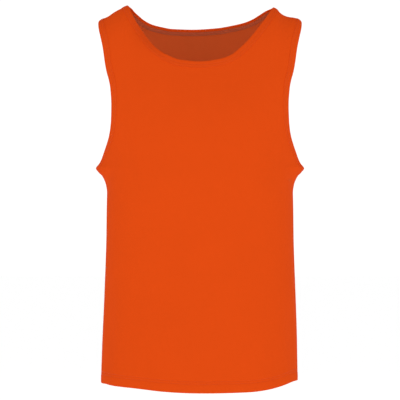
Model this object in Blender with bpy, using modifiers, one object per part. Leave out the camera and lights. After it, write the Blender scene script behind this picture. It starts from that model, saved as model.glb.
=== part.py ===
"""Sleeveless mesh training bib, filled out as when it is worn, with nothing inside it.

Metres, +Z up. The front faces -Y and the wearer's left is at +X. The origin is midway
between the undersides of the two shoulder straps, where the shoulders would carry it.

The cloth lies on one smooth sheath. A place on it is a turn and a run. The turn goes
round the body: 0 at the centre of the front or back panel, +-90 degrees at the side
seams. The run is the square root of the level, the millimetres below the shoulder line,
so that the sheath rolls smoothly over the shoulders.
"""

import math
from functools import partial

import bpy
import numpy as np

MM = 0.001

# Cloth, in millimetres
PANEL_WALL = 1.2  # one layer of knit
HEM_WALL = 2.0  # the panel turned up on itself
HEM_HEIGHT = 20.0
BAND_WALL = 2.0  # a folded strip
BAND_WIDTH = 13.0
BAND_PROUD = 0.4  # how far the folded strip stands off the panel's face
BAND_ROUNDING = 0.8
SEAM_GAP = 0.3

# How far the nearest row of points lies from a seam, which keeps the wall square there
SEAM_MARGIN = 3.0
HEM_ROWS = (0.94, 0.5, 0.0)  # rows of points in the hem, as parts of its height

# Grid of each panel, in cells
SHOULDER_CELLS = 4
NECK_CELLS = 28
ARMHOLE_CELLS = 21
SIDE_CELLS = 12
EVENING_ROUNDS = 60
SIDE_SPREAD = 1.6  # rows stand closer together just under the arm, by this power
BAND_CELLS = 3  # across a band's width

SQUARENESS = 2.4  # power of the superellipse that every level of the sheath is
WING_SHARPNESS = 8  # how narrow the standing tip under each arm is, seen from above
SHOULDER_REACH = 140.0  # level where the shoulder line's slope has died out

CLOTH_COLOUR = (0.75, 0.070, 0.006)
BAND_COLOUR = (0.68, 0.060, 0.006)
ROUGHNESS = 0.85


def read(table, name, place):
    """Read a column at a place between the rows, on a curve that never overshoots them."""
    key, value = table[next(iter(table))], table[name]
    place = np.clip(place, key[0], key[-1])
    step = np.diff(value) / np.diff(key)
    turning = step[:-1] * step[1:] <= 0
    total = np.where(turning, 1.0, step[:-1] + step[1:])
    inner = np.where(turning, 0.0, 2 * step[:-1] * step[1:] / total)
    slope = np.concatenate((step[:1], inner, step[-1:]))
    row = np.clip(np.searchsorted(key, place, side="right") - 1, 0, len(key) - 2)
    span = key[row + 1] - key[row]
    t = (place - key[row]) / span
    rise = value[row + 1] - value[row]
    bend = t * (1 - t) * span * ((1 - t) * slope[row] - t * slope[row + 1])
    return value[row] + rise * t * t * (3 - 2 * t) + bend


def table(names, *rows):
    """Name the columns of a table. The first is the one it is read by."""
    return dict(zip(names.split(), np.array(rows, dtype=float).T))


# Half the sheath's width at each level, and how far the underarm tip stands out from it
WIDTHS = table(
    "level half_width wing",
    (0, 228, 0),
    (40, 216, 0),
    (80, 204, 0),
    (120, 193, 0),
    (165, 184, 0),
    (205, 176, 0),
    (220, 173.3, 1.5),
    (233, 171.1, 4),
    (247, 169, 7.5),
    (260, 167.4, 11.8),
    (268, 166.6, 15.7),
    (275, 166, 20.5),
    (282, 165.8, 16),
    (289, 165.7, 10),
    (297, 165.7, 5.5),
    (306, 165.7, 2.2),
    (320, 165.8, 0),
    (400, 167, 0),
    (440, 168.5, 0),
    (512, 171.3, 0),
    (584, 174.3, 0),
    (664, 176.8, 0),
)

# How far the sheath stands before and behind the shoulder line, by the level's square root
DEPTHS = table(
    "run front back",
    (0.0, 0, 0),
    (2.2, 20.5, 20.5),
    (3.9, 36, 37),
    (5.5, 51, 53),
    (7.7, 70, 74),
    (10.0, 89, 93),
    (12.2, 107, 109),
    (14.1, 119, 117),
    (15.8, 126, 119),
    (17.3, 129, 118),
    (21.2, 129, 116),
    (25.8, 131, 120),
)

# The shoulder line from the wearer's right to left: highest at the neck, with the left
# strap sagging between its bands
SHOULDER_LINE = table(
    "across height",
    (-183, -14),
    (-180, -9.5),
    (-174, -5.6),
    (-166, -2.2),
    (-155, 5.2),
    (-145, 10.8),
    (-130, 16.5),
    (-60, 16.5),
    (60, 14),
    (131, 13.5),
    (137, 11.5),
    (143, 5.6),
    (151, 0),
    (160, -2.8),
    (168, -3.8),
    (175, -5.6),
    (180, -9),
    (183, -14),
)

# Finished edge of the neck, as levels below the shoulder line
NECK_FRONT = table(
    "across level",
    (-130, 0),
    (-121, 15),
    (-112, 28),
    (-94, 53),
    (-76, 72.5),
    (-58, 84),
    (-33, 92.5),
    (0, 95),
    (33, 91),
    (54, 84),
    (72, 71),
    (90, 54),
    (108, 33),
    (121, 15.5),
    (131, 0),
)
NECK_BACK = table(
    "across level",
    (-130, 0),
    (-124, 2.5),
    (-119, 7),
    (-110, 13.5),
    (-102, 19),
    (-88, 25),
    (-72, 28.5),
    (-50, 31.5),
    (-20, 32),
    (30, 29),
    (57, 25),
    (80, 20.5),
    (94, 16),
    (108, 9),
    (120, 3),
    (131, 0),
)

# Finished edge of the armholes: half the width left across the chest and the back
ARMHOLE = table(
    "level front back",
    (0, 182.5, 182.5),
    (10, 181.5, 181.5),
    (23, 179.5, 180.5),
    (37, 176.5, 178.5),
    (62, 171.5, 174),
    (92, 167, 169.5),
    (107, 164, 167),
    (122, 159.8, 163.5),
    (136, 157, 160.5),
    (164, 155, 158),
    (192, 155.7, 158.5),
    (206, 157, 159.5),
    (220, 159.7, 162),
    (233, 164, 165.5),
    (247, 169.5, 170),
    (261, 175.2, 175.2),
    (268, 179.6, 179.6),
    (275, 186.5, 186.5),
)
UNDERARM_LEVEL = 275.0

# Hem, with the front hanging a little lower at its centre
HEM = table(
    "turn front back",
    (-90, 657, 657),
    (-65, 654, 655),
    (-40, 655.5, 657),
    (0, 661.5, 660),
    (25, 661, 659),
    (48, 656, 657),
    (68, 651, 655),
    (90, 655, 655),
)

# Soft folds: each runs from one place to another and sinks the cloth by its depth
FOLD_COLUMNS = "turn_from level_from turn_to level_to half_width depth"
FRONT_FOLDS = (
    (2, 120, -2, 420, 42, 2.5),
    (-84, 318, -50, 250, 16, 3.0),
    (84, 318, 50, 250, 16, 3.0),
    (-66, 420, -58, 700, 24, 2.5),
    (62, 470, 66, 700, 22, 2.5),
)
BACK_FOLDS = (
    (-3, 90, 3, 420, 46, 5.0),
    (-84, 318, -48, 240, 16, 3.5),
    (84, 318, 46, 230, 16, 3.5),
    (-38, 380, -44, 720, 26, 4.0),
    (30, 330, 38, 720, 30, 4.5),
    (66, 430, 60, 700, 20, 3.0),
)
GIRTH_PER_DEGREE = 2.7  # millimetres of cloth in one degree of turn

LEAN_CURVE = 2.5  # the lean grows from nothing at the seam by this power

# The neck band leans in from its seam, most of all on the wearer's right of the front
NECK_LEAN = table(
    "across front back",
    (-130, 1.5, 1.5),
    (-110, 3.5, 1.0),
    (-75, 4.0, 0.5),
    (-45, 1.0, 0.5),
    (0, 0.5, 0.5),
    (100, 0.5, 1.0),
    (131, 1.5, 1.5),
)


def signed_power(value, power):
    return np.sign(value) * np.abs(value) ** power


def fold_depth(turn, level, folds):
    """How far the folds sink the cloth at a place."""
    total = np.zeros(np.broadcast(turn, level).shape)
    girth = np.degrees(turn) * GIRTH_PER_DEGREE
    for row in folds:
        fold = dict(zip(FOLD_COLUMNS.split(), row))
        start = np.array((fold["turn_from"] * GIRTH_PER_DEGREE, fold["level_from"]))
        way = np.array((fold["turn_to"] * GIRTH_PER_DEGREE, fold["level_to"])) - start
        length = np.hypot(*way)
        along = ((girth - start[0]) * way[0] + (level - start[1]) * way[1]) / length
        aside = ((girth - start[0]) * way[1] - (level - start[1]) * way[0]) / length
        swell = np.sin(np.pi * np.clip(along / length, 0, 1)) ** 2
        total += fold["depth"] * swell * np.exp(-((aside / fold["half_width"]) ** 2))
    return total


def sheath(turn, run, back):
    """The sheath without its folds, in millimetres."""
    level = run**2
    power = 2 / SQUARENESS
    half_width = read(WIDTHS, "half_width", level)
    wing = read(WIDTHS, "wing", level) * np.abs(np.sin(turn)) ** WING_SHARPNESS
    x = half_width * signed_power(np.sin(turn), power) + wing * np.sign(turn)
    depth = np.sign(run) * read(DEPTHS, "back" if back else "front", np.abs(run))
    y = depth * signed_power(np.cos(turn), power) * (1 if back else -1)
    fade = np.clip(1 - level / SHOULDER_REACH, 0, 1)
    slope = fade * fade * (3 - 2 * fade)
    z = read(SHOULDER_LINE, "height", x) * slope - level
    return np.stack((x, y, z), axis=-1)


def tangents(turn, run, back):
    """Directions in which the sheath is left along its turn and along its run."""
    d_turn, d_run = 0.002, 0.02
    by_turn = sheath(turn + d_turn, run, back) - sheath(turn - d_turn, run, back)
    by_run = sheath(turn, run + d_run, back) - sheath(turn, run - d_run, back)
    return by_turn / (2 * d_turn), by_run / (2 * d_run)


def unit(vectors):
    return vectors / np.linalg.norm(vectors, axis=-1, keepdims=True)


def outward(turn, run, back):
    by_turn, by_run = tangents(turn, run, back)
    return unit(np.cross(by_turn, by_run) if back else np.cross(by_run, by_turn))


def cloth(turn, run, back, raised=0.0):
    """A place on the folded cloth, raised off it if wanted, in millimetres."""
    sunk = fold_depth(turn, run**2, BACK_FOLDS if back else FRONT_FOLDS)
    height = (np.asarray(raised) - sunk)[..., None]
    return sheath(turn, run, back) + outward(turn, run, back) * height


def turn_at(across, run):
    """The turn at which the sheath has a given x, found by halving."""
    low, high = np.zeros_like(run), np.full_like(run, math.pi / 2)
    for _ in range(40):
        middle = (low + high) / 2
        inside = sheath(middle, run, False)[..., 0] < np.abs(across)
        low, high = np.where(inside, middle, low), np.where(inside, high, middle)
    return np.sign(across) * high


def walk(place, heading, distance, back):
    """Move places over the sheath, each along its own heading."""
    turn, run = place
    steps = 4
    for _ in range(steps):
        normal = outward(turn, run, back)
        flat = heading - normal * np.sum(heading * normal, axis=-1, keepdims=True)
        stride = unit(flat) * distance / steps
        frame = np.stack(tangents(turn, run, back), axis=-1)
        move = np.einsum("nij,nj->in", np.linalg.pinv(frame), stride)
        turn, run = turn + move[0], run + move[1]
    return turn, run


def neck_edge(back, samples=400):
    """Finished edge of the neck, from the wearer's right shoulder to the left."""
    shape = NECK_BACK if back else NECK_FRONT
    swing = np.sin(np.linspace(-1, 1, samples) * math.pi / 2)
    x = np.interp(swing, (-1, 1), shape["across"][[0, -1]])
    run = np.sqrt(read(shape, "level", x))
    return turn_at(x, run), run


def armhole_edge(side, back, samples=400):
    """Finished edge of one armhole, from the shoulder to the side seam."""
    run = np.sin(np.linspace(0, 1, samples) * math.pi / 2) * math.sqrt(UNDERARM_LEVEL)
    x = side * read(ARMHOLE, "back" if back else "front", run**2)
    turn = turn_at(x, run)
    turn[-1] = side * math.pi / 2
    return turn, run


def inset(edge, distance, back, side=0):
    """Move an edge into the cloth. Its ends stay on the seams that they lie on."""
    along = np.gradient(sheath(*edge, back), axis=0)
    along[[0, -1]] *= (0, 1, 0)
    inward = (side or 1) * (1 if back else -1)
    heading = np.cross(outward(*edge, back), along) * inward
    turn, run = walk(edge, heading, distance, back)
    run[0] = 0
    if side:
        turn[-1] = side * math.pi / 2
    else:
        run[-1] = 0
    return turn, run


def stations(edge, cells, back):
    """Sample numbers evenly along an edge, and close to the seam at each of its ends."""
    steps = np.linalg.norm(np.diff(sheath(*edge, back), axis=0), axis=1)
    gone = np.concatenate(([0], np.cumsum(steps)))
    inner = np.linspace(SEAM_MARGIN, gone[-1] - SEAM_MARGIN, cells - 1)
    return np.interp([0, *inner, gone[-1]], gone, np.arange(len(gone)))


def pick(edge, at):
    """Places of an edge at the given sample numbers."""
    samples = np.arange(len(edge[0]))
    return np.stack([np.interp(at, samples, values) for values in edge], axis=-1)


def neck_line(distance, back):
    """The line that lies a distance inside the finished edge of the neck."""
    edge = neck_edge(back)
    line = inset(edge, distance, back) if distance else edge
    return pick(line, stations(edge, NECK_CELLS, back))


def armhole_line(distance, back, side):
    """The line that lies a distance inside the finished edge of an armhole."""
    edge = armhole_edge(side, back)
    line = inset(edge, distance, back, side) if distance else edge
    return pick(line, stations(edge, ARMHOLE_CELLS, back))


def hem_level(turn, back):
    return read(HEM, "back" if back else "front", np.degrees(turn))


def panel_side(side, back):
    """Outer edge of a panel: down the armhole, then down the side seam to its hem."""
    armhole = armhole_line(BAND_WIDTH + SEAM_GAP, back, side)
    quarter = math.pi / 2 * side
    spread = np.linspace(0, 1, SIDE_CELLS + 1)[1:] ** SIDE_SPREAD
    ends = (armhole[-1, 1] ** 2, hem_level(quarter, back) - HEM_HEIGHT)
    levels = np.interp(spread, (0, 1), ends)
    seam = np.stack((np.full_like(levels, quarter), np.sqrt(levels)), axis=-1)
    return np.concatenate((armhole, seam))


def panel_top(right_corner, left_corner, back):
    """Upper edge of a panel: shoulder seam, neck and shoulder seam."""
    neck = neck_line(BAND_WIDTH + SEAM_GAP, back)
    right = np.linspace(right_corner, neck[0], SHOULDER_CELLS + 1)
    left = np.linspace(neck[-1], left_corner, SHOULDER_CELLS + 1)
    return np.concatenate((right[:-1], neck, left[1:]))


def fill(top, bottom, right, left):
    """Grid of places between four edges, blended from them and then evened out."""
    u = np.linspace(0, 1, len(top))[None, :, None]
    v = np.linspace(0, 1, len(right))[:, None, None]
    grid = (1 - v) * top[None] + v * bottom[None]
    grid += (1 - u) * (right[:, None] - (1 - v) * top[0] - v * bottom[0])
    grid += u * (left[:, None] - (1 - v) * top[-1] - v * bottom[-1])
    for _ in range(EVENING_ROUNDS):
        beside = grid[1:-1, :-2] + grid[1:-1, 2:]
        grid[1:-1, 1:-1] = (beside + grid[:-2, 1:-1] + grid[2:, 1:-1]) / 4
    return grid


def panel_places(back):
    """Grid of places over a panel, from the shoulders and neck down to the hem."""
    right, left = panel_side(-1, back), panel_side(1, back)
    top = panel_top(right[0], left[0], back)
    turns = np.linspace(-math.pi / 2, math.pi / 2, len(top))
    hem_rows = []
    for rise in (1.0, *HEM_ROWS):
        levels = hem_level(turns, back) - HEM_HEIGHT * rise
        hem_rows.append(np.stack((turns, np.sqrt(levels)), axis=-1))
    body = fill(top, hem_rows[0], np.delete(right, 1, 0), np.delete(left, 1, 0))
    # The row beside the shoulder seam goes in last, at the margin that the sides have there
    share = right[1, 1] / right[2, 1]
    beside_seam = body[0] + (body[1] - body[0]) * share
    beside_seam[[0, -1]] = right[1], left[1]
    grid = np.concatenate((body[:1], beside_seam[None], body[1:], hem_rows[1:]))
    return grid[..., 0], grid[..., 1]


def sheet_object(name, points, colour, wall, closed=False):
    """Cloth through a grid of points on its face, thickened inward."""
    rows, columns = points.shape[:2]
    faces = []
    for row in range(rows if closed else rows - 1):
        below = (row + 1) % rows
        for column in range(columns - 1):
            corners = ((row, column), (below, column), (below, column + 1), (row, column + 1))
            faces.append([r * columns + c for r, c in corners])
    mesh = bpy.data.meshes.new(name)
    mesh.from_pydata((points * MM).reshape(-1, 3).tolist(), [], faces)
    mesh.shade_smooth()
    mesh.materials.append(knit(name, colour))
    sheet = bpy.data.objects.new(name, mesh)
    solidify = sheet.modifiers.new("Wall", "SOLIDIFY")
    solidify.thickness = wall * MM
    solidify.offset = -1
    solidify.use_quality_normals = True
    return sheet


def knit(name, colour):
    material = bpy.data.materials.new(name)
    material.use_nodes = True
    shader = material.node_tree.nodes["Principled BSDF"]
    shader.inputs["Base Color"].default_value = (*colour, 1)
    shader.inputs["Roughness"].default_value = ROUGHNESS
    return material


def make_panel(name, back):
    """Front or back panel, its hem turned up on the inside."""
    turn, run = panel_places(back)
    points = cloth(turn, run, back)
    points[..., 1] += SEAM_GAP / 2 * (1 if back else -1)
    if back:
        points = points[:, ::-1]
    panel = sheet_object(name, points, CLOTH_COLOUR, HEM_WALL)
    rows, columns = turn.shape
    hem_start = (rows - len(HEM_ROWS)) * columns
    walls = panel.vertex_groups.new(name="Walls")
    walls.add(range(hem_start), PANEL_WALL / HEM_WALL, "REPLACE")
    walls.add(range(hem_start, rows * columns), 1.0, "REPLACE")
    panel.modifiers["Wall"].vertex_group = walls.name
    return panel


def make_band(name, line, lean=None, flip=False):
    """Folded strip round an opening, from the finished edge to its seam on the panels."""
    halves = []
    for back in (False, True):
        strips = []
        for step in range(BAND_CELLS + 1):
            places = line(BAND_WIDTH * step / BAND_CELLS, back)
            turn, run = places[:, 0], places[:, 1]
            raised = BAND_PROUD
            if lean:
                across = sheath(turn, run, back)[:, 0]
                leaning = read(lean, "back" if back else "front", across)
                raised = BAND_PROUD - leaning * (1 - step / BAND_CELLS) ** LEAN_CURVE
            strips.append(cloth(turn, run, back, raised))
        halves.append(np.stack(strips, axis=1))
    front, back = halves
    ring = np.concatenate((front, back[-2:0:-1]))
    if flip:
        ring = ring[:, ::-1]
    band = sheet_object(name, ring, BAND_COLOUR, BAND_WALL, closed=True)
    rounding = band.modifiers.new("Folded edges", "BEVEL")
    rounding.limit_method = "ANGLE"
    rounding.angle_limit = math.radians(60)
    rounding.width = BAND_ROUNDING * MM
    rounding.segments = 1
    return band


def make_bib():
    """All five sewn pieces, carried by one empty at the shoulders."""
    for thing in list(bpy.data.objects):
        bpy.data.objects.remove(thing, do_unlink=True)
    bib = bpy.data.collections.new("mesh_training_bib")
    bpy.context.scene.collection.children.link(bib)
    shoulders = bpy.data.objects.new("shoulders", None)
    bib.objects.link(shoulders)
    pieces = [make_panel("front_panel", back=False), make_panel("back_panel", back=True)]
    pieces.append(make_band("neck_band", neck_line, lean=NECK_LEAN, flip=True))
    for name, side in (("armhole_band_left", 1), ("armhole_band_right", -1)):
        pieces.append(make_band(name, partial(armhole_line, side=side), flip=side > 0))
    for piece in pieces:
        bib.objects.link(piece)
        piece.parent = shoulders


make_bib()
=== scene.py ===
# Mesh training bib, filled out as when it is worn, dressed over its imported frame.
# Blender works in metres with +Z up. The front faces -Y and the wearer's left is at +X.
# The cloth lies on one smooth sheath, and the tables of that sheath are in millimetres.

import math
from functools import partial

import bpy
import numpy as np
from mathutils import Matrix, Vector


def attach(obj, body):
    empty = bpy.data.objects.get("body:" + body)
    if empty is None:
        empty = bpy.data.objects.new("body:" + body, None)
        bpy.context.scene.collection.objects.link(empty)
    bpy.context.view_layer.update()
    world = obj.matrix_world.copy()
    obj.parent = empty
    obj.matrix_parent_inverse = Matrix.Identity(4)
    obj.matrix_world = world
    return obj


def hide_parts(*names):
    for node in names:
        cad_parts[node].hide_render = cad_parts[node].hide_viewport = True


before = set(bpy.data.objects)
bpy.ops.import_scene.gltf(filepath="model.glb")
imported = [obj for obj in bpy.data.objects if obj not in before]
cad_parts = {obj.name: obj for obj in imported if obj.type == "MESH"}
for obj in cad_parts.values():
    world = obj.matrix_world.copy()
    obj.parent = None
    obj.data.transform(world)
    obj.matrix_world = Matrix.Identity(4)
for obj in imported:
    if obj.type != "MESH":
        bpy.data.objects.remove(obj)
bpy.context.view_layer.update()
mm = 0.001


print("bib: frame loaded with", len(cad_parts), "nodes")


# Tables: the first column is the one that a table is read by

def makeTable(names, *rows):
    return dict(zip(names.split(), np.array(rows, dtype=float).T))


def readColumn(table, name, place):
    # a smooth curve through the rows that never overshoots them
    key, value = table[next(iter(table))], table[name]
    place = np.clip(place, key[0], key[-1])
    step = np.diff(value) / np.diff(key)
    turning = step[:-1] * step[1:] <= 0
    total = np.where(turning, 1.0, step[:-1] + step[1:])
    inner = np.where(turning, 0.0, 2 * step[:-1] * step[1:] / total)
    slope = np.concatenate((step[:1], inner, step[-1:]))
    row = np.clip(np.searchsorted(key, place, side="right") - 1, 0, len(key) - 2)
    span = key[row + 1] - key[row]
    t = (place - key[row]) / span
    rise = value[row + 1] - value[row]
    bend = t * (1 - t) * span * ((1 - t) * slope[row] - t * slope[row + 1])
    return value[row] + rise * t * t * (3 - 2 * t) + bend


def smooth(value, low, high):
    t = np.clip((value - low) / (high - low), 0, 1)
    return t * t * (3 - 2 * t)


# The sheath. A place on it is a turn, 0 at the centre of a panel and a quarter turn at its
# side seams, and a run, the square root of the millimetres below the shoulder line.

sheathShape = {
    "squareness": 2.4,  # power of the superellipse at every level
    "wingSharpness": 8,  # how narrow the standing tip under each arm is
    "shoulderReach": 140.0,  # level where the shoulder line's slope has died out
    "underarmLevel": 275.0,
    "girthPerDegree": 2.7,  # of cloth in one degree of turn
    "depthPerRun": 9.3,  # of cloth in one step of run, at the shoulder
    "probeTurn": 0.002,  # half the steps that tangents are measured over
    "probeRun": 0.02,
    "hemSway": 1.1,  # the hem hangs a little toward the wearer's right
    "swayLevels": (500, 650),
}

widths = makeTable(
    "level half wing",
    (0, 228, 0), (40, 216, 0), (80, 204, 0), (120, 193, 0), (165, 184, 0), (205, 176, 0),
    (220, 173.3, 1.5), (233, 171.1, 4), (247, 169, 7.5), (260, 167.4, 11.8),
    (268, 166.6, 15.7), (275, 166, 20.5), (282, 165.8, 16), (289, 165.7, 10),
    (297, 165.9, 5.5), (306, 166.2, 2.2), (320, 166.7, 0), (345, 167.3, 0), (400, 168, 0),
    (440, 169.2, 0), (512, 171.9, 0), (584, 174.7, 0), (664, 176.7, 0),
)
depths = makeTable(
    "run front back",
    (0, 0, 0), (2.2, 20.5, 20.5), (3.9, 36, 37), (5.5, 51, 53), (7.7, 70, 74), (10, 89, 93),
    (12.2, 107, 109), (14.1, 119, 117), (15.8, 126, 119), (17.3, 129, 118),
    (21.2, 129, 116), (25.8, 131, 120),
)
shoulderLine = makeTable(
    "across height",
    (-183, -14), (-180, -9.5), (-174, -5.6), (-166, -2.2), (-155, 5.2), (-145, 10.8),
    (-130, 16.5), (-60, 16.5), (60, 14), (131, 13.5), (137, 11.5), (143, 5.6), (151, 0),
    (160, -2.8), (168, -3.8), (175, -5.6), (180, -9), (183, -14),
)
neckFront = makeTable(
    "across level",
    (-128.8, 0), (-120.6, 15), (-112, 28), (-94, 53), (-76, 72.5), (-58, 84), (-33, 92.5),
    (0, 95), (33, 91), (54, 84), (72, 71), (90, 54), (108, 33), (121, 15.5), (131, 0),
)
neckBack = makeTable(
    "across level",
    (-128.8, 0), (-123.4, 2.5), (-118.6, 7), (-110, 13.5), (-102, 19), (-88, 25), (-72, 28.5),
    (-50, 31.5), (-20, 32), (30, 29), (57, 25), (80, 20.5), (94, 16), (108, 9), (120, 3),
    (131, 0),
)
armhole = makeTable(
    "level front back",
    (0, 182.5, 182.5), (10, 181.5, 181.5), (23, 179.5, 180.5), (37, 176.5, 178.5),
    (62, 171.5, 174), (92, 167, 169.5), (107, 164, 167), (122, 159.8, 163.5),
    (136, 157, 160.5), (164, 155, 158), (192, 155.7, 158.5), (206, 157, 159.5),
    (220, 159.7, 162), (233, 164, 165.5), (247, 169.5, 170), (261, 175.2, 175.2),
    (268, 179.6, 179.6), (275, 186.5, 186.5),
)
hemline = makeTable(
    "turn front back",
    (-90, 659.5, 659.5), (-65, 655.3, 656), (-40, 655.5, 657), (0, 661.5, 660), (25, 661, 659),
    (48, 656, 657), (68, 651, 655), (90, 655, 655),
)

# Creases run from one place to another, in degrees and levels. A negative depth is a ridge.
# The first rows of each are the main folds that the frame has too, and the last of the
# front's turns the edge of the neck inward on the wearer's right.
creaseColumns = "turnFrom levelFrom turnTo levelTo halfWidth depth"
creases = {
    False: (
        (2, 120, -2, 420, 42, 2.5), (-84, 318, -50, 250, 16, 3.0),
        (84, 318, 50, 250, 16, 3.0), (-66, 420, -58, 700, 24, 2.5),
        (62, 470, 66, 700, 22, 2.5),
        (-60, 150, -36, 330, 13, 0.9), (58, 130, 40, 300, 12, 0.8),
        (-88, 300, -40, 300, 9, -0.9), (88, 296, 44, 284, 8, -0.8),
        (-30, 400, -38, 640, 20, 1.0), (24, 440, 30, 720, 18, -0.8),
        (-12, 560, -16, 720, 12, 0.7), (44, 560, 48, 740, 12, 0.8),
        (-84, 520, -78, 740, 10, 0.9), (80, 380, 76, 560, 12, 0.8),
        (-30, 1, -17, 82, 15, 8.0),
    ),
    True: (
        (-3, 90, 3, 420, 46, 5.0), (-84, 318, -48, 240, 16, 3.5),
        (84, 318, 46, 230, 16, 3.5), (-38, 380, -44, 720, 26, 4.0),
        (30, 330, 38, 720, 30, 4.5), (66, 430, 60, 700, 20, 3.0),
        (-60, 70, -30, 230, 14, 2.6), (56, 64, 24, 210, 14, 2.8),
        (-88, 330, -30, 392, 12, -2.4), (88, 312, 22, 350, 11, -2.2),
        (-18, 180, -24, 520, 22, -2.6), (14, 240, 20, 480, 18, 2.4),
        (-64, 480, -70, 760, 15, 2.8), (50, 500, 54, 760, 13, -2.2),
        (-8, 500, -12, 760, 15, 2.4), (84, 420, 78, 640, 12, 1.4),
    ),
}


def creaseDepth(turn, level, back):
    total = np.zeros(np.broadcast(turn, level).shape)
    girth = np.degrees(turn) * sheathShape["girthPerDegree"]
    for row in creases[back]:
        crease = dict(zip(creaseColumns.split(), row))
        start = np.array((crease["turnFrom"] * sheathShape["girthPerDegree"], crease["levelFrom"]))
        end = np.array((crease["turnTo"] * sheathShape["girthPerDegree"], crease["levelTo"]))
        way = end - start
        length = np.hypot(*way)
        along = ((girth - start[0]) * way[0] + (level - start[1]) * way[1]) / length
        aside = ((girth - start[0]) * way[1] - (level - start[1]) * way[0]) / length
        swell = np.sin(np.pi * np.clip(along / length, 0, 1)) ** 2
        total += crease["depth"] * swell * np.exp(-((aside / crease["halfWidth"]) ** 2))
    return total


def signedPower(value, power):
    return np.sign(value) * np.abs(value) ** power


def sheathPoint(turn, run, back):
    level = run**2
    power = 2 / sheathShape["squareness"]
    tip = readColumn(widths, "wing", level) * np.abs(np.sin(turn)) ** sheathShape["wingSharpness"]
    x = readColumn(widths, "half", level) * signedPower(np.sin(turn), power) + tip * np.sign(turn)
    x = x - sheathShape["hemSway"] * smooth(level, *sheathShape["swayLevels"])
    depth = np.sign(run) * readColumn(depths, "back" if back else "front", np.abs(run))
    y = depth * signedPower(np.cos(turn), power) * (1 if back else -1)
    slope = 1 - smooth(level, 0, sheathShape["shoulderReach"])
    z = readColumn(shoulderLine, "height", x) * slope - level
    return np.stack((x, y, z), axis=-1)


def sheathTangents(turn, run, back):
    aside, down = sheathShape["probeTurn"], sheathShape["probeRun"]
    byTurn = sheathPoint(turn + aside, run, back) - sheathPoint(turn - aside, run, back)
    byRun = sheathPoint(turn, run + down, back) - sheathPoint(turn, run - down, back)
    return byTurn / (2 * aside), byRun / (2 * down)


def unit(vectors):
    return vectors / np.linalg.norm(vectors, axis=-1, keepdims=True)


def lineLength(points):
    return np.concatenate(([0], np.cumsum(np.linalg.norm(np.diff(points, axis=0), axis=1))))


def outward(turn, run, back):
    byTurn, byRun = sheathTangents(turn, run, back)
    return unit(np.cross(byTurn, byRun) if back else np.cross(byRun, byTurn))


def clothPoint(turn, run, back, raised=0.0):
    height = np.asarray(raised) - creaseDepth(turn, run**2, back)
    return sheathPoint(turn, run, back) + outward(turn, run, back) * height[..., None]


def turnAt(across, run, halvings=40):
    low, high = np.zeros_like(run), np.full_like(run, math.pi / 2)
    for _ in range(halvings):
        middle = (low + high) / 2
        inside = sheathPoint(middle, run, False)[..., 0] < np.abs(across)
        low, high = np.where(inside, middle, low), np.where(inside, high, middle)
    return np.sign(across) * high


def walkOver(place, heading, distance, back, strides=4):
    turn, run = place
    for _ in range(strides):
        normal = outward(turn, run, back)
        flat = heading - normal * np.sum(heading * normal, axis=-1, keepdims=True)
        stride = unit(flat) * distance / strides
        tangents = np.stack(sheathTangents(turn, run, back), axis=-1)
        move = np.einsum("nij,nj->in", np.linalg.pinv(tangents), stride)
        turn, run = turn + move[0], run + move[1]
    return turn, run


def neckEdge(back, samples=600):
    shape = neckBack if back else neckFront
    swing = np.sin(np.linspace(-1, 1, samples) * math.pi / 2)
    x = np.interp(swing, (-1, 1), shape["across"][[0, -1]])
    run = np.sqrt(readColumn(shape, "level", x))
    return turnAt(x, run), run


def armholeEdge(side, back, samples=600):
    run = np.sin(np.linspace(0, 1, samples) * math.pi / 2) * math.sqrt(sheathShape["underarmLevel"])
    turn = turnAt(side * readColumn(armhole, "back" if back else "front", run**2), run)
    turn[-1] = side * math.pi / 2
    return turn, run


def insetLine(edge, distance, back, side=0):
    # move an edge into the cloth, its ends staying on the seams that they lie on
    along = np.gradient(sheathPoint(*edge, back), axis=0)
    along[[0, -1]] *= (0, 1, 0)
    inward = (side or 1) * (1 if back else -1)
    heading = np.cross(outward(*edge, back), along) * inward
    turn, run = walkOver(edge, heading, distance, back)
    run[0] = 0
    if side:
        turn[-1] = side * math.pi / 2
    else:
        run[-1] = 0
    return turn, run


def evenPick(edge, cells, back, line):
    # places of a line, at even steps along the edge that it was moved from
    gone = lineLength(sheathPoint(*edge, back))
    at = np.linspace(0, gone[-1], cells + 1)
    return np.stack([np.interp(at, gone, values) for values in line], axis=-1)


def neckLine(distance, back, cells):
    edge = neckEdge(back)
    line = insetLine(edge, distance, back) if distance else edge
    return evenPick(edge, cells, back, line)


def armholeLine(distance, back, cells, side):
    edge = armholeEdge(side, back)
    line = insetLine(edge, distance, back, side) if distance else edge
    return evenPick(edge, cells, back, line)


def hemLevel(turn, back):
    return readColumn(hemline, "back" if back else "front", np.degrees(turn))


# Panels: each is one closed shell, its face, the fold of its hem and its wrong side

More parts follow.
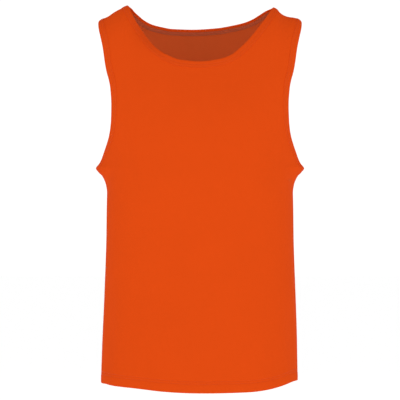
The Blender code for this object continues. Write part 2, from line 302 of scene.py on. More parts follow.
panel = {
    "wall": 0.9,
    "underBinding": 4.0,  # how far the cloth runs on inside the binding
    "bindingWidth": 13.0,
    "neckCells": 120,
    "armholeCells": 86,
    "sideCells": 128,
    "shoulderCells": 14,
    "eveningRounds": 900,
    "sideSpread": 1.6,  # rows stand closer just under the arm, by this power
    "besideSeam": (0.12, 0.3, 0.6),  # extra rows of points in the first cell at a seam
    "seamSink": 0.4,
    "seamHalfWidth": 1.5,
    "seamGap": -0.1,  # the panels' edges press into each other a little
    "hemWall": 2.0,
    "hemStitches": (16.0, 20.0),  # rows of stitches, above the fold
    "hemRows": (22.6, 20.9, 20.5, 20, 19.5, 18, 16.5, 16, 15.5, 13, 10, 7, 4.5, 2.6, 1.4),
    "hemStart": 24.0,
    "rawEdge": 20.7,  # the turned-up layer ends here
    "foldAngles": (35, 70, 110, 145),  # rows round the fold of the hem, in degrees
    "stitchSink": 0.4,
    "stitchHalfWidth": 0.55,
    "hemPuff": 0.25,
    "puffRise": (0.5, 6),  # above the fold
    "puffFall": (12, 16),
    "hemWave": 0.7,  # of the loose edge in and out
    "waveSteps": (8.6, 13.1),
    "waveFade": 55,  # up the cloth
    "waveFromSeam": 30,
    "hemGather": 0.1,  # small gathers along the hem's stitches
    "gatherStep": 1.35,
    "gatherAbove": 17,
    "gatherHalfWidth": 6,
    "pucker": 0.22,  # of the cloth gathered a little by the bindings
    "puckerStep": 9.5,
    "puckerFade": 9.0,
    "lineSamples": 260,
    "grainTurn": 0.8,  # where the knit's rows are counted down the cloth, in radians
    "flatSteps": 33,  # places that the flat cloth is measured at, across and down
    "flatRows": 400,
}

# The bake's maps: how much of the square is filled, and what is left free beside it
bakeMap = {
    "panelWidth": 0.48,
    "panelHeight": 0.97,
    "panelMargin": 0.01,
    "edgeStep": 0.002,  # width of the strips that close a panel's edges
    "laneSpare": 1.02,
    "lanesWidth": 0.98,
    "lanesHeight": 0.94,
    "laneMargin": 0.005,
    "laneGap": 0.004,
}


def panelSide(side, back):
    inner = panel["bindingWidth"] - panel["underBinding"]
    armholeSide = armholeLine(inner, back, panel["armholeCells"], side)
    quarter = math.pi / 2 * side
    spread = np.linspace(0, 1, panel["sideCells"] + 1)[1:] ** panel["sideSpread"]
    ends = (armholeSide[-1, 1] ** 2, hemLevel(quarter, back) - panel["hemStart"])
    levels = np.interp(spread, (0, 1), ends)
    seam = np.stack((np.full_like(levels, quarter), np.sqrt(levels)), axis=-1)
    return np.concatenate((armholeSide, seam))


def panelTop(rightCorner, leftCorner, back):
    inner = panel["bindingWidth"] - panel["underBinding"]
    neck = neckLine(inner, back, panel["neckCells"])
    right = np.linspace(rightCorner, neck[0], panel["shoulderCells"] + 1)
    left = np.linspace(neck[-1], leftCorner, panel["shoulderCells"] + 1)
    return np.concatenate((right[:-1], neck, left[1:]))


def fillGrid(top, bottom, right, left):
    u = np.linspace(0, 1, len(top))[None, :, None]
    v = np.linspace(0, 1, len(right))[:, None, None]
    grid = (1 - v) * top[None] + v * bottom[None]
    grid += (1 - u) * (right[:, None] - (1 - v) * top[0] - v * bottom[0])
    grid += u * (left[:, None] - (1 - v) * top[-1] - v * bottom[-1])
    for _ in range(panel["eveningRounds"]):
        beside = grid[1:-1, :-2] + grid[1:-1, 2:]
        grid[1:-1, 1:-1] = (beside + grid[:-2, 1:-1] + grid[2:, 1:-1]) / 4
    return grid


def addBesideSeam(grid):
    # extra rows in the first cell, so that the seam's groove has points
    extra = [grid[0] + (grid[1] - grid[0]) * share for share in panel["besideSeam"]]
    return np.concatenate((grid[:1], extra, grid[1:]))


def panelGrid(back):
    right, left = panelSide(-1, back), panelSide(1, back)
    top = panelTop(right[0], left[0], back)
    turns = np.linspace(-math.pi / 2, math.pi / 2, len(top))

    def hemRow(above):
        return np.stack((turns, np.sqrt(hemLevel(turns, back) - above)), axis=-1)

    grid = addBesideSeam(fillGrid(top, hemRow(panel["hemStart"]), right, left))
    grid = np.concatenate((grid, [hemRow(above) for above in panel["hemRows"]]))
    across = addBesideSeam(grid.transpose(1, 0, 2))
    across = addBesideSeam(across[::-1])[::-1]
    return across.transpose(1, 0, 2)


def nearestDistance(points, line):
    return np.concatenate([
        np.linalg.norm(part[:, None] - line[None], axis=-1).min(axis=1)
        for part in np.array_split(points, max(1, len(points) // 2000))
    ])


def alongLine(points, line):
    # how far along a line the nearest point of it is
    gone = lineLength(line)
    nearest = np.concatenate([
        np.linalg.norm(part[:, None] - line[None], axis=-1).argmin(axis=1)
        for part in np.array_split(points, max(1, len(points) // 2000))
    ])
    return gone[nearest]


def faceHeight(turn, run, back):
    # fine relief of the face: seams sunk, hem stitched down and puffed, edges a little wavy
    shape = turn.shape
    level = run**2
    above = hemLevel(turn, back) - level
    aside = (math.pi / 2 - np.abs(turn)) * math.degrees(1) * sheathShape["girthPerDegree"]
    fromShoulder = run * sheathShape["depthPerRun"]
    height = -panel["seamSink"] * np.exp(-((aside / panel["seamHalfWidth"]) ** 2))
    height -= panel["seamSink"] * np.exp(-((fromShoulder / panel["seamHalfWidth"]) ** 2))
    for row in panel["hemStitches"]:
        height -= panel["stitchSink"] * np.exp(-(((above - row) / panel["stitchHalfWidth"]) ** 2))
    puff = smooth(above, *panel["puffRise"]) * (1 - smooth(above, *panel["puffFall"]))
    height += panel["hemPuff"] * puff
    girth = np.degrees(turn) * sheathShape["girthPerDegree"]
    short, long = panel["waveSteps"]
    wave = np.sin(girth / short + 0.7) * 0.6 + np.sin(girth / long + (2 if back else 0)) * 0.7
    fade = np.exp(-np.maximum(above, 0) / panel["waveFade"])
    height += panel["hemWave"] * wave * fade * smooth(aside, 0, panel["waveFromSeam"])
    gather = np.sin(girth / panel["gatherStep"] + 2 * np.sin(girth / 9))
    beside = (above - panel["gatherAbove"]) / panel["gatherHalfWidth"]
    height += panel["hemGather"] * gather * np.exp(-(beside**2))

    points = sheathPoint(turn, run, back).reshape(-1, 3)
    samples = panel["lineSamples"]
    lines = [sheathPoint(*neckEdge(back, samples), back)]
    lines += [sheathPoint(*armholeEdge(side, back, samples), back) for side in (-1, 1)]
    for number, line in enumerate(lines):
        far = nearestDistance(points, line) - panel["bindingWidth"]
        near = far < panel["puckerFade"] * 4
        phase = alongLine(points[near], line) / panel["puckerStep"] * 2 * math.pi + number * 1.7
        swell = 0.55 + 0.45 * np.sin(phase * 0.23 + number)
        fade = np.exp(-np.abs(far[near]) / panel["puckerFade"]) * swell
        relief = np.zeros(len(points))
        relief[near] = panel["pucker"] * np.sin(phase + 0.8 * np.sin(phase * 0.37)) * fade
        height += relief.reshape(shape)
    return height


def flatPlaces(turn, run, back):
    # where each place was on the flat cloth, in metres: across, and down from the shoulder
    # along one line of turn, so that the rows of the knit stay square to its columns
    share = np.linspace(0, 1, panel["flatSteps"])[:, None, None]
    ring = sheathPoint(turn[None] * share, np.broadcast_to(run, (len(share), *run.shape)), back)
    across = np.linalg.norm(np.diff(ring, axis=0), axis=-1).sum(axis=0) * np.sign(turn)
    steps = np.linspace(0, run.max(), panel["flatRows"])
    drop = lineLength(sheathPoint(np.full_like(steps, panel["grainTurn"]), steps, back))
    down = np.interp(run, steps, drop)
    return np.stack((across, -down), axis=-1) * mm


def gridFaces(rows, columns, closedRows, closedColumns, flip):
    down = np.arange(rows if closedRows else rows - 1)[:, None]
    over = np.arange(columns if closedColumns else columns - 1)[None]
    nextDown, nextOver = (down + 1) % rows, (over + 1) % columns
    corners = (down * columns + over, nextDown * columns + over,
               nextDown * columns + nextOver, down * columns + nextOver)
    faces = np.stack(np.broadcast_arrays(*corners), axis=-1)
    return faces[..., ::-1] if flip else faces


def gridCorners(places, flip):
    # the same corners for a map's places, which don't wrap round as the points do
    corners = np.stack((places[:-1, :-1], places[1:, :-1], places[1:, 1:], places[:-1, 1:]), axis=2)
    return corners[:, :, ::-1] if flip else corners


def buildPiece(name, points, faces, knitCorners, bakeCorners, wrongSideAndPaintedShade):
    mesh = bpy.data.meshes.new(name)
    mesh.from_pydata((points * mm).tolist(), [], faces.tolist())
    for mapName, corners in (("knitMap", knitCorners), ("OFBake", bakeCorners)):
        layer = mesh.uv_layers.new(name=mapName)
        layer.uv.foreach_set("vector", corners.astype(np.float32).ravel())
    # a mask for the inside: on the panels the wrong side, its colour partly painted shade; on the
    # bindings the painted shade of the inner leaf
    mask = mesh.attributes.new("wrongSideAndPaintedShade", "FLOAT", "POINT")
    mask.data.foreach_set("value", wrongSideAndPaintedShade.astype(np.float32))
    mesh.shade_smooth()
    mesh.update()
    piece = bpy.data.objects.new(name, mesh)
    bpy.context.scene.collection.objects.link(piece)
    return piece


def makePanel(name, back):
    grid = panelGrid(back)
    turn, run = grid[..., 0], grid[..., 1]
    rows, columns = turn.shape
    height = faceHeight(turn, run, back)
    above = hemLevel(turn, back) - run**2
    inside = height - np.where(above > panel["rawEdge"], panel["wall"], panel["hemWall"])

    # the fold is half a ring of rows that goes round under the hem's edge
    angles = np.radians(panel["foldAngles"])[:, None]
    radius = panel["hemWall"] / 2
    foldTurn = np.tile(turn[-1], (len(angles), 1))
    foldAbove = panel["hemRows"][-1] * (1 - np.sin(angles))
    foldRun = np.sqrt(hemLevel(foldTurn, back) - foldAbove)
    foldHeight = height[-1] - radius + radius * np.cos(angles)

    turns = np.concatenate((turn, foldTurn, turn[::-1]))
    runs = np.concatenate((run, foldRun, run[::-1]))
    heights = np.concatenate((height, foldHeight, inside[::-1]))
    points = clothPoint(turns, runs, back, heights)
    points[..., 1] += panel["seamGap"] / 2 * (1 if back else -1)
    flat = flatPlaces(turns, runs, back)
    total = len(turns)
    # the layer that is turned up shows the knit's face on the inside; the rest of the inside shows
    # the wrong side, whose colour is partly painted shade
    wrongSideAndPaintedShade = np.zeros((total, columns))
    wrongSideAndPaintedShade[-rows:] = above[::-1] > panel["rawEdge"]

    # the bake's map has the face on its left half and the wrong side on its right half
    low, high = flat.reshape(-1, 2).min(axis=0), flat.reshape(-1, 2).max(axis=0)
    wide, tall = high - low
    scale = min(bakeMap["panelWidth"] / wide, bakeMap["panelHeight"] / tall)
    faceMap = (flat - low) * scale + bakeMap["panelMargin"]
    half = rows + len(angles) // 2
    bakeCorners = gridCorners(faceMap, back)
    bakeCorners[half:, ..., 0] += 0.5

    faces = [gridFaces(total, columns, False, False, back).reshape(-1, 4)]
    knitCorners = [gridCorners(flat, back).reshape(-1, 4, 2)]
    bakeCorners = [bakeCorners.reshape(-1, 4, 2)]

    def addStrip(near, far, flip, step):
        # close an open border with a strip of faces between two rows of points
        strip = np.stack((near[:-1], far[:-1], far[1:], near[1:]), axis=-1)
        shift = np.array(((0, 0), step, step, (0, 0))) * bakeMap["edgeStep"]
        base = np.stack((near[:-1], near[:-1], near[1:], near[1:]), axis=-1)
        bake = faceMap.reshape(-1, 2)[base] + shift
        knit = flat.reshape(-1, 2)[base] + shift
        turned = slice(None, None, -1 if flip else 1)
        faces.append(strip[:, turned])
        knitCorners.append(knit[:, turned])
        bakeCorners.append(bake[:, turned])

    down = np.arange(total // 2)
    addStrip(down * columns, (total - 1 - down) * columns, back, (-1, 0))
    last = columns - 1
    addStrip(down * columns + last, (total - 1 - down) * columns + last, not back, (1, 0))
    over = np.arange(columns)
    addStrip(over, (total - 1) * columns + over, not back, (0, 1))
    piece = buildPiece(name, points.reshape(-1, 3), np.concatenate(faces),
                       np.concatenate(knitCorners), np.concatenate(bakeCorners), wrongSideAndPaintedShade.ravel())
    print("bib:", name, "made from", rows, "by", columns, "places")
    return piece


frontCloth = makePanel("frontPanelCloth", back=False)
backCloth = makePanel("backPanelCloth", back=True)


# Bindings: a strip folded over the raw edge, closed all round, with the panel inside it

binding = {
    "neckCells": 168,
    "armholeCells": 132,
    # section through the folded strip: millimetres from the finished edge, and height
    "section": (
        (13.0, -0.1), (12.9, 0.32), (12.5, 0.5), (11.7, 0.5), (11.0, 0.22), (10.3, 0.52),
        (8.8, 0.6), (7.2, 0.5), (6.6, 0.24), (6.0, 0.52), (4.4, 0.68), (2.4, 0.74),
        (0.8, 0.62), (0.1, 0.25), (-0.2, -0.4), (0.1, -1.05), (0.8, -1.42), (2.4, -1.52),
        (4.2, -1.5), (6.0, -1.5), (6.6, -1.3), (7.2, -1.5), (10.3, -1.5), (11.0, -1.3),
        (11.7, -1.5), (12.7, -1.42), (13.0, -1.0),
    ),
    "stitches": (6.6, 11.0),  # two rows, from the finished edge
    "middlePoint": 10,  # place of the section that the strip's length is measured at
    "innerLeaf": -0.9,  # places of the section under this height are the leaf inside
    "pucker": 0.16,
    "puckerStep": 4.7,
    "puckerFrom": 1.0,  # from the finished edge, and how far the gathers reach from there
    "puckerReach": 12.0,
    "joinSink": 0.35,  # a join in the strip, and the seams that it crosses
    "joinHalfWidth": 1.2,
    "leanCurve": 1.4,
    "lanes": 8,
    "paintedShadeFrom": (4.2, 6.0),  # from here on the leaf inside is painted darker, as painted shade toward its sewn edge
}
neckLean = makeTable(
    "across front back",
    (-128.8, -0.8, -0.8), (-121, 2, 0.2), (-110, 5, 0.5), (-80, 5, 0.5), (-50, 1, 0.5),
    (0, 0.5, 0.5), (100, 0.5, 0.5), (122, 0.2, 0.2), (131, -0.4, -0.4),
)


def bindingLean(turn, run, back, distance):
    across = sheathPoint(turn, run, back)[..., 0]
    share = max(0.0, 1 - distance / panel["bindingWidth"])
    return readColumn(neckLean, "back" if back else "front", across) * share ** binding["leanCurve"]


def bindingHeight(gone, total, distance):
    # small gathers between the rows of stitches, and dips where the strip crosses a seam
    phase = gone / binding["puckerStep"] * 2 * math.pi
    swell = 0.6 + 0.4 * np.sin(gone / 31 + 1)
    share = (distance - binding["puckerFrom"]) / binding["puckerReach"]
    across = math.sin(math.pi * min(1.0, max(0.0, share))) ** 0.5
    relief = binding["pucker"] * np.sin(phase + 1.3 * np.sin(gone / 23)) * swell * across
    toSeam = np.minimum(gone, total - gone)
    return relief - binding["joinSink"] * np.exp(-((toSeam / binding["joinHalfWidth"]) ** 2))


def bindingStrip(line, lean, back, distance, height):
    places = line(distance, back)
    turn, run = places[:, 0], places[:, 1]
    gone = lineLength(sheathPoint(turn, run, back))
    raised = height + bindingHeight(gone, gone[-1], distance)
    if lean:
        raised = raised - bindingLean(turn, run, back, distance)
    return clothPoint(turn, run, back, raised)


def makeBinding(name, line, lean=False, flip=False):
    halves = [
        np.stack([bindingStrip(line, lean, back, *point) for point in binding["section"]], axis=1)
        for back in (False, True)
    ]
    ring = np.concatenate((halves[0], halves[1][-2:0:-1]))
    rows, columns = ring.shape[:2]
    middle = ring[:, binding["middlePoint"]]
    middle = np.concatenate((middle, middle[:1]))
    along = lineLength(middle)
    section = np.array(binding["section"] + binding["section"][:1])
    around = lineLength(section)
    flat = np.stack(np.meshgrid(along, around, indexing="ij"), axis=-1) * mm

    # the bake's map lays the strip out in lanes, one over another
    laneLength = along[-1] * mm / binding["lanes"] * bakeMap["laneSpare"]
    laneDepth = around[-1] * mm
    scale = min(bakeMap["lanesWidth"] / laneLength,
                bakeMap["lanesHeight"] / (binding["lanes"] * laneDepth))
    lane = np.floor(flat[:-1, :-1, 0] / laneLength)
    corners = gridCorners(flat, flip)
    bake = corners * scale + bakeMap["laneMargin"]
    bake[..., 0] -= (lane * laneLength * scale)[..., None]
    bake[..., 1] += (lane * (laneDepth * scale + bakeMap["laneGap"]))[..., None]
    faces = gridFaces(rows, columns, True, True, flip).reshape(-1, 4)
    distances, heights = section[:-1].T
    # painted shade on the inner leaf toward its sewn edge, carried by the wrong-side mask
    sewn = smooth(distances, *binding["paintedShadeFrom"]) * (heights < binding["innerLeaf"])
    piece = buildPiece(name, ring.reshape(-1, 3), faces, corners.reshape(-1, 4, 2),
                       bake.reshape(-1, 4, 2), np.tile(sewn, rows))
    print("bib:", name, "is", round(along[-1]), "mm round")
    return piece, along[-1]


def neckPlaces(distance, back):
    return neckLine(distance, back, binding["neckCells"])


def armholePlaces(distance, back, side):
    return armholeLine(distance, back, binding["armholeCells"], side)


leftPlaces, rightPlaces = partial(armholePlaces, side=1), partial(armholePlaces, side=-1)
neckBinding, neckLength = makeBinding("neckBinding", neckPlaces, lean=True, flip=True)
leftBinding, leftLength = makeBinding("armholeBindingLeft", leftPlaces, flip=True)
rightBinding, rightLength = makeBinding("armholeBindingRight", rightPlaces)


# Nodes: arithmetic on a socket adds Math nodes, and any other node comes from one method

class Flow:
    def __init__(self, make, socket):
        self.make, self.socket = make, socket

    def maths(self, operation, *values):
        return self.make.add("ShaderNodeMath", {"operation": operation}, dict(enumerate(values)))

    def __add__(self, other):
        return self.maths("ADD", self, other)

    def __radd__(self, other):
        return self.maths("ADD", other, self)

    def __sub__(self, other):
        return self.maths("SUBTRACT", self, other)

    def __rsub__(self, other):
        return self.maths("SUBTRACT", other, self)

    def __mul__(self, other):
        return self.maths("MULTIPLY", self, other)

    def __rmul__(self, other):
        return self.maths("MULTIPLY", other, self)

    def cosine(self):
        return self.maths("COSINE", self)

    def between(self, low, high):
        # 0 below low and 1 above high, with a soft step from one to the other
        return self.make.add("ShaderNodeMapRange", {"interpolation_type": "SMOOTHSTEP"},
                             {"Value": self, "From Min": low, "From Max": high})

    def other(self, name):
        return Flow(self.make, self.socket.node.outputs[name])


class NodeMaker:
    def __init__(self, tree):
        self.tree = tree
        tree.nodes.clear()

    def add(self, kind, settings=None, sockets=None):
        node = self.tree.nodes.new(kind)
        for name, value in (settings or {}).items():
            setattr(node, name, value)
        for name, value in (sockets or {}).items():
            if isinstance(value, Flow):
                self.tree.links.new(value.socket, node.inputs[name])
            else:
                node.inputs[name].default_value = value
        shown = [socket for socket in node.outputs if socket.enabled]
        return Flow(self, shown[0]) if shown else node

    def mix(self, factor, first, second, blend="MIX"):
        colours = {"Factor": factor, 6: first, 7: second}
        return self.add("ShaderNodeMix", {"data_type": "RGBA", "blend_type": blend}, colours)


def startMaterial(name):
    material = bpy.data.materials.new(name)
    material.use_nodes = True
    return material, NodeMaker(material.node_tree)


def finishMaterial(make, shader):
    make.add("ShaderNodeOutputMaterial", sockets={"Surface": shader})


# Finishes

knitFinish = {
    "face": (0.732, 0.0690, 0.0055, 1),
    # the inside's colour: the knit's wrong side, made duller and greyer as painted shade of the
    # garment's inside
    "wrongSideAndPaintedShade": (0.63, 0.097, 0.021, 1),
    "holeShade": 0.80,  # painted shade in each hole: how much of the colour a hole keeps
    "holesAcross": 3.0,  # millimetres from hole to hole in one row
    "holesDown": 2.7,  # and between every other row
    "holeEdge": (0.3, 0.9),  # how soft a hole's rim is
    "mottle": 0.05,
    "relief": 0.35,
    "reliefDepth": 0.0005,
}
bindingFinish = {
    "face": (0.718, 0.0680, 0.0055, 1),
    # painted shade on the binding's inner leaf, toward its sewn edge
    "paintedShadeInside": (0.46, 0.100, 0.042, 1),
    # painted shade in the grooves between the ribs
    "ribShade": 0.92,
    "ribStep": 1.3,  # millimetres from rib to rib, and from row to row of loops
    "rowStep": 1.6,
    "ribShare": 0.7,
    "ribEdge": (-0.9, 0.5),
    "mottle": 0.05,
    "relief": 0.25,
    "reliefDepth": 0.0003,
}
threadFinish = {"colour": (0.72, 0.068, 0.0055, 1), "shade": 0.86, "twist": 620.0}
threadSurface = {"Roughness": 0.55, "Specular IOR Level": 0.35}
clothSurface = {"Roughness": 0.85, "Specular IOR Level": 0.015}
unevenDye = {"patches": 14.0, "yarns": 330.0, "yarnShare": 1.4}


def mottled(make, colour, amount):
    # the dye and the yarn are a little uneven, in patches and thread by thread
    place = make.add("ShaderNodeTexCoord").other("Object")
    patches = make.add("ShaderNodeTexNoise", sockets={
        "Vector": place, "Scale": unevenDye["patches"], "Detail": 2.0})
    yarns = make.add("ShaderNodeTexNoise", sockets={
        "Vector": place, "Scale": unevenDye["yarns"], "Detail": 1.0})
    uneven = (patches - 0.5) * amount + (yarns - 0.5) * amount * unevenDye["yarnShare"] + 1.0
    grey = make.add("ShaderNodeCombineColor", sockets={0: uneven, 1: uneven, 2: uneven})
    return make.mix(1.0, colour, grey, "MULTIPLY")


def darker(colour, share):
    return (*(value * share for value in colour[:3]), 1)


def meshKnitMaterial():
    look = knitFinish
    material, make = startMaterial("meshKnit")
    place = make.add("ShaderNodeUVMap", {"uv_map": "knitMap"})
    across = make.add("ShaderNodeSeparateXYZ", sockets={"Vector": place})
    down = across.other("Y")
    turnsAcross = (across * (2 * math.pi / (look["holesAcross"] * mm))).cosine()
    turnsDown = (down * (2 * math.pi / (look["holesDown"] * mm))).cosine()
    holes = (turnsAcross * turnsDown).between(*look["holeEdge"])
    # the inside's colour, by the wrong-side mask: partly the knit's wrong side, partly painted
    # shade
    wrong = make.add("ShaderNodeAttribute", {"attribute_name": "wrongSideAndPaintedShade"}).other("Fac")
    colour = make.mix(wrong, look["face"], look["wrongSideAndPaintedShade"])
    # each hole is painted darker, as painted shade down in it
    shade = darker(look["face"], look["holeShade"])
    wrongShade = darker(look["wrongSideAndPaintedShade"], look["holeShade"])
    colour = make.mix(holes, colour, make.mix(wrong, shade, wrongShade))
    colour = mottled(make, colour, look["mottle"])
    relief = make.add("ShaderNodeBump", sockets={
        "Strength": look["relief"], "Distance": look["reliefDepth"], "Height": 1.0 - holes})
    shader = make.add("ShaderNodeBsdfPrincipled", sockets={
        "Base Color": colour, "Normal": relief, **clothSurface})
    finishMaterial(make, shader)
    return material


def bindingMaterial():
    look = bindingFinish
    material, make = startMaterial("bindingKnit")
    place = make.add("ShaderNodeUVMap", {"uv_map": "knitMap"})
    along = make.add("ShaderNodeSeparateXYZ", sockets={"Vector": place})
    ribs = (along * (2 * math.pi / (look["ribStep"] * mm))).cosine()
    rows = (along.other("Y") * (2 * math.pi / (look["rowStep"] * mm))).cosine()
    wales = ribs * look["ribShare"] + rows * (1 - look["ribShare"])
    wales = wales.between(*look["ribEdge"])
    # the grooves between the ribs are painted darker, as painted shade
    colour = make.mix(wales, darker(look["face"], look["ribShade"]), look["face"])
    # the inner leaf is painted darker there, as painted shade
    inner = make.add("ShaderNodeAttribute", {"attribute_name": "wrongSideAndPaintedShade"}).other("Fac")
    colour = mottled(make, make.mix(inner, colour, look["paintedShadeInside"]), look["mottle"])
    relief = make.add("ShaderNodeBump", sockets={
        "Strength": look["relief"], "Distance": look["reliefDepth"], "Height": wales})
    shader = make.add("ShaderNodeBsdfPrincipled", sockets={
        "Base Color": colour, "Normal": relief, **clothSurface})
    finishMaterial(make, shader)
    return material


def threadMaterial():
    look = threadFinish
    material, make = startMaterial("sewingThread")
    place = make.add("ShaderNodeTexCoord").other("Object")
    twist = make.add("ShaderNodeTexNoise", sockets={
        "Vector": place, "Scale": look["twist"], "Detail": 1.0})
    shade = darker(look["colour"], look["shade"])
    colour = make.mix(twist.between(0.35, 0.65), shade, look["colour"])
    shader = make.add("ShaderNodeBsdfPrincipled", sockets={"Base Color": colour, **threadSurface})
    finishMaterial(make, shader)
    return material


meshKnit = meshKnitMaterial()
bindingKnit = bindingMaterial()
sewingThread = threadMaterial()
for piece in (frontCloth, backCloth):
    piece.data.materials.append(meshKnit)
for piece in (neckBinding, leftBinding, rightBinding):
    piece.data.materials.append(bindingKnit)
print("bib: finishes made")


# Stitches: one tree lays them along a path, and it is used for every row of sewing

stitchShape = {
    "pitch": 3.3,
    "length": 2.7,
    "width": 0.55,
    "thickness": 0.42,
    "wander": 4.0,  # degrees, of each stitch to either side
    "seed": 7,
    "chainPitch": 2.3,  # of the thread that zigzags on the inside
    "chainLength": 4.6,
    "chainSlant": 58.0,
    "hemLift": 0.14,  # of the thread off the cloth, and at the bindings its height in the section
    "hemChainLift": 0.1,
    "bindingHeight": 0.36,
    "bindingChainHeight": -1.55,
}


def stitchTree():
    tree = bpy.data.node_groups.new("stitchesAlongPath", "GeometryNodeTree")
    sizes = ("Pitch", "Length", "Width", "Thickness", "Wander", "Slant")
    tree.interface.new_socket("Geometry", in_out="INPUT", socket_type="NodeSocketGeometry")
    for name in sizes:
        tree.interface.new_socket(name, in_out="INPUT", socket_type="NodeSocketFloat")
    tree.interface.new_socket("Seed", in_out="INPUT", socket_type="NodeSocketInt")
    tree.interface.new_socket("Thread", in_out="INPUT", socket_type="NodeSocketMaterial")
    tree.interface.new_socket("Geometry", in_out="OUTPUT", socket_type="NodeSocketGeometry")
    make = NodeMaker(tree)
    given = make.add("NodeGroupInput")
    path = make.add("GeometryNodeMeshToCurve", sockets={"Mesh": given})
    path = make.add("GeometryNodeResampleCurve", {"mode": "LENGTH"},
                    {"Curve": path, "Length": given.other("Pitch")})
    ball = make.add("GeometryNodeMeshUVSphere", sockets={"Segments": 6, "Rings": 4, "Radius": 0.5})
    size = make.add("ShaderNodeCombineXYZ", sockets={
        "X": given.other("Length"), "Y": given.other("Width"), "Z": given.other("Thickness")})
    stitch = make.add("GeometryNodeTransform", sockets={"Geometry": ball, "Scale": size})
    way = make.add("GeometryNodeInputTangent")
    face = make.add("GeometryNodeInputNamedAttribute", {"data_type": "FLOAT_VECTOR"},
                    {"Name": "clothNormal"})
    lying = make.add("FunctionNodeAxesToRotation", {"primary_axis": "X", "secondary_axis": "Z"},
                     {"Primary Axis": way, "Secondary Axis": face})
    wander = given.other("Wander")
    chance = make.add("FunctionNodeRandomValue", {"data_type": "FLOAT"},
                      {2: 0.0 - wander, 3: wander, "Seed": given.other("Seed")})
    number = make.add("GeometryNodeInputIndex")
    side = number.maths("MODULO", number, 2.0) * 2.0 - 1.0
    yaw = chance + side * given.other("Slant")
    bend = make.add("ShaderNodeCombineXYZ", sockets={"Z": yaw})
    bend = make.add("FunctionNodeEulerToRotation", sockets={"Euler": bend})
    turned = make.add("FunctionNodeRotateRotation", {"rotation_space": "LOCAL"},
                      {"Rotation": lying, "Rotate By": bend})
    row = make.add("GeometryNodeInstanceOnPoints", sockets={
        "Points": path, "Instance": stitch, "Rotation": turned})
    solid = make.add("GeometryNodeRealizeInstances", sockets={"Geometry": row})
    solid = make.add("GeometryNodeSetShadeSmooth", sockets={"Geometry": solid})
    solid = make.add("GeometryNodeSetMaterial", sockets={
        "Geometry": solid, "Material": given.other("Thread")})
    make.add("NodeGroupOutput", sockets={"Geometry": solid})
    return tree


stitches = stitchTree()


def layStitches(name, paths, chain=False):
    # each path is a row of points on the cloth and the way that the cloth faces there
    points = np.concatenate([path[0] for path in paths])
    normals = np.concatenate([path[1] for path in paths])
    edges, start = [], 0
    for path in paths:
        edges += [(start + i, start + i + 1) for i in range(len(path[0]) - 1)]
        start += len(path[0])
    mesh = bpy.data.meshes.new(name)
    mesh.from_pydata((points * mm).tolist(), edges, [])
    facing = mesh.attributes.new("clothNormal", "FLOAT_VECTOR", "POINT")
    facing.data.foreach_set("vector", normals.astype(np.float32).ravel())
    carrier = bpy.data.objects.new(name + "Path", mesh)
    bpy.context.scene.collection.objects.link(carrier)
    rows = carrier.modifiers.new("Stitches", "NODES")
    rows.node_group = stitches
    values = {
        "Pitch": stitchShape["chainPitch" if chain else "pitch"] * mm,
        "Length": stitchShape["chainLength" if chain else "length"] * mm,
        "Width": stitchShape["width"] * mm,
        "Thickness": stitchShape["thickness"] * mm,
        "Wander": math.radians(stitchShape["wander"]),
        "Slant": math.radians(stitchShape["chainSlant"]) if chain else 0.0,
        "Seed": stitchShape["seed"],
        "Thread": sewingThread,
    }
    for item in stitches.interface.items_tree:
        if item.in_out == "INPUT" and item.name in values:
            rows[item.identifier] = values[item.name]
    graph = bpy.context.evaluated_depsgraph_get()
    made = bpy.data.meshes.new_from_object(carrier.evaluated_get(graph))
    bpy.data.objects.remove(carrier, do_unlink=True)
    piece = bpy.data.objects.new(name, made)
    bpy.context.scene.collection.objects.link(piece)
    print("bib:", name, "has", len(made.polygons), "faces")
    return piece


def hemPath(back, above, lift, inward=False, samples=240):
    turn = np.linspace(-math.pi / 2, math.pi / 2, samples)[1:-1]
    run = np.sqrt(hemLevel(turn, back) - above)
    height = faceHeight(turn, run, back)
    raised = height - panel["hemWall"] - lift if inward else height + lift
    normal = outward(turn, run, back)
    return clothPoint(turn, run, back, raised), -normal if inward else normal


def bindingPath(line, lean, back, distance, height, inward=False):
    points = bindingStrip(line, lean, back, distance, height)
    places = line(distance, back)
    normal = outward(places[:, 0], places[:, 1], back)
    return points[1:-1], (-normal if inward else normal)[1:-1]


hemLow, hemHigh = panel["hemStitches"]
hemStitching = layStitches("hemStitching", [
    hemPath(back, above, stitchShape["hemLift"])
    for back in (False, True) for above in (hemLow, hemHigh)])
hemChain = layStitches("hemChain", [
    hemPath(back, (hemLow + hemHigh) / 2, stitchShape["hemChainLift"], inward=True)
    for back in (False, True)], chain=True)
sewnOpenings = (
    ("neck", neckPlaces, True),
    ("armholeLeft", leftPlaces, False),
    ("armholeRight", rightPlaces, False),
)
bindingStitching = []
for name, line, lean in sewnOpenings:
    bindingStitching.append(layStitches(name + "Stitching", [
        bindingPath(line, lean, back, distance, stitchShape["bindingHeight"])
        for back in (False, True) for distance in binding["stitches"]]))
    middle = sum(binding["stitches"]) / 2
    bindingStitching.append(layStitches(name + "Chain", [
        bindingPath(line, lean, back, middle, stitchShape["bindingChainHeight"], inward=True)
        for back in (False, True)], chain=True))


# Stage: pale floor, even studio light and a camera straight in front

stage = {
    "floorLevel": -1.15,
    "floorSize": 24.0,
    "floorGlow": 0.42,  # keeps the floor as white as the paper behind it
    "horizonLight": 1.07,
    "topLight": 0.36,  # less light comes from above
    "topLightFrom": (0.22, 0.97),  # heights in the sky that the light falls off between
    "lampSize": 1.6,
    "lampAim": (0, 0, -0.33),
    "cameraPlace": (0, -2.4, -0.332),
    "lens": 120,
    "sensor": 36,
}
lamps = (
    ("key", (0.1, -2.5, 1.1), 13.0),
    ("fill", (0.1, 2.5, 1.2), 15.0),
)


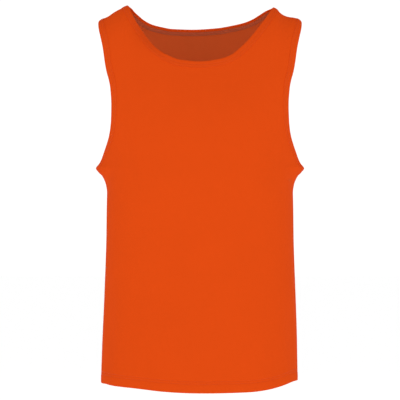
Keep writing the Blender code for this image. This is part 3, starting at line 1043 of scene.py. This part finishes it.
def makeFloor():
    corner = stage["floorSize"] / 2
    level = stage["floorLevel"]
    mesh = bpy.data.meshes.new("floor")
    mesh.from_pydata([(-corner, -corner, level), (corner, -corner, level),
                      (corner, corner, level), (-corner, corner, level)], [], [(0, 1, 2, 3)])
    floor = bpy.data.objects.new("floor", mesh)
    bpy.context.scene.collection.objects.link(floor)
    material, make = startMaterial("paleFloor")
    finishMaterial(make, make.add("ShaderNodeBsdfPrincipled", sockets={
        "Base Color": (0.9, 0.9, 0.9, 1), "Roughness": 0.9, "Specular IOR Level": 0.1,
        "Emission Color": (1, 1, 1, 1), "Emission Strength": stage["floorGlow"]}))
    mesh.materials.append(material)


def makeSky():
    world = bpy.data.worlds.new("studio")
    world.use_nodes = True
    make = NodeMaker(world.node_tree)
    way = make.add("ShaderNodeTexCoord").other("Generated")
    upward = make.add("ShaderNodeSeparateXYZ", sockets={"Vector": way}).other("Z")
    fall = stage["horizonLight"] - stage["topLight"]
    strength = stage["horizonLight"] - upward.between(*stage["topLightFrom"]) * fall
    sky = make.add("ShaderNodeBackground", sockets={"Color": (1, 1, 1, 1), "Strength": strength})
    make.add("ShaderNodeOutputWorld", sockets={"Surface": sky})
    bpy.context.scene.world = world


def makeLamp(name, place, power):
    light = bpy.data.lights.new(name, "AREA")
    light.energy = power
    light.size = stage["lampSize"]
    lamp = bpy.data.objects.new(name, light)
    lamp.location = place
    aim = Vector(stage["lampAim"]) - lamp.location
    lamp.rotation_euler = aim.to_track_quat("-Z", "Y").to_euler()
    bpy.context.scene.collection.objects.link(lamp)


def makeCamera():
    lens = bpy.data.cameras.new("camera")
    lens.lens = stage["lens"]
    lens.sensor_width = stage["sensor"]
    camera = bpy.data.objects.new("camera", lens)
    camera.location = stage["cameraPlace"]
    camera.rotation_euler = (math.radians(90), 0, 0)
    bpy.context.scene.collection.objects.link(camera)
    bpy.context.scene.camera = camera
    bpy.context.scene.view_settings.view_transform = "Standard"


makeFloor()
makeSky()
for name, place, power in lamps:
    makeLamp(name, place, power)
makeCamera()
print("bib: stage set")


# Every piece rides on the one body, and stands for its solid

sewn = [hemStitching, hemChain, *bindingStitching]
pairs = (
    (frontCloth, "front_panel", "mesh_knit"),
    (backCloth, "back_panel", "mesh_knit"),
    (neckBinding, "neck_band", "binding"),
    (leftBinding, "armhole_band_left", "binding"),
    (rightBinding, "armhole_band_right", "binding"),
)
for piece, node, finish in pairs:
    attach(piece, "root")
    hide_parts(node)
for piece in sewn:
    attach(piece, "root")

strips = ((neckBinding, neckLength), (leftBinding, leftLength), (rightBinding, rightLength))
for piece, length in strips:
    length * mm

print("bib: done")
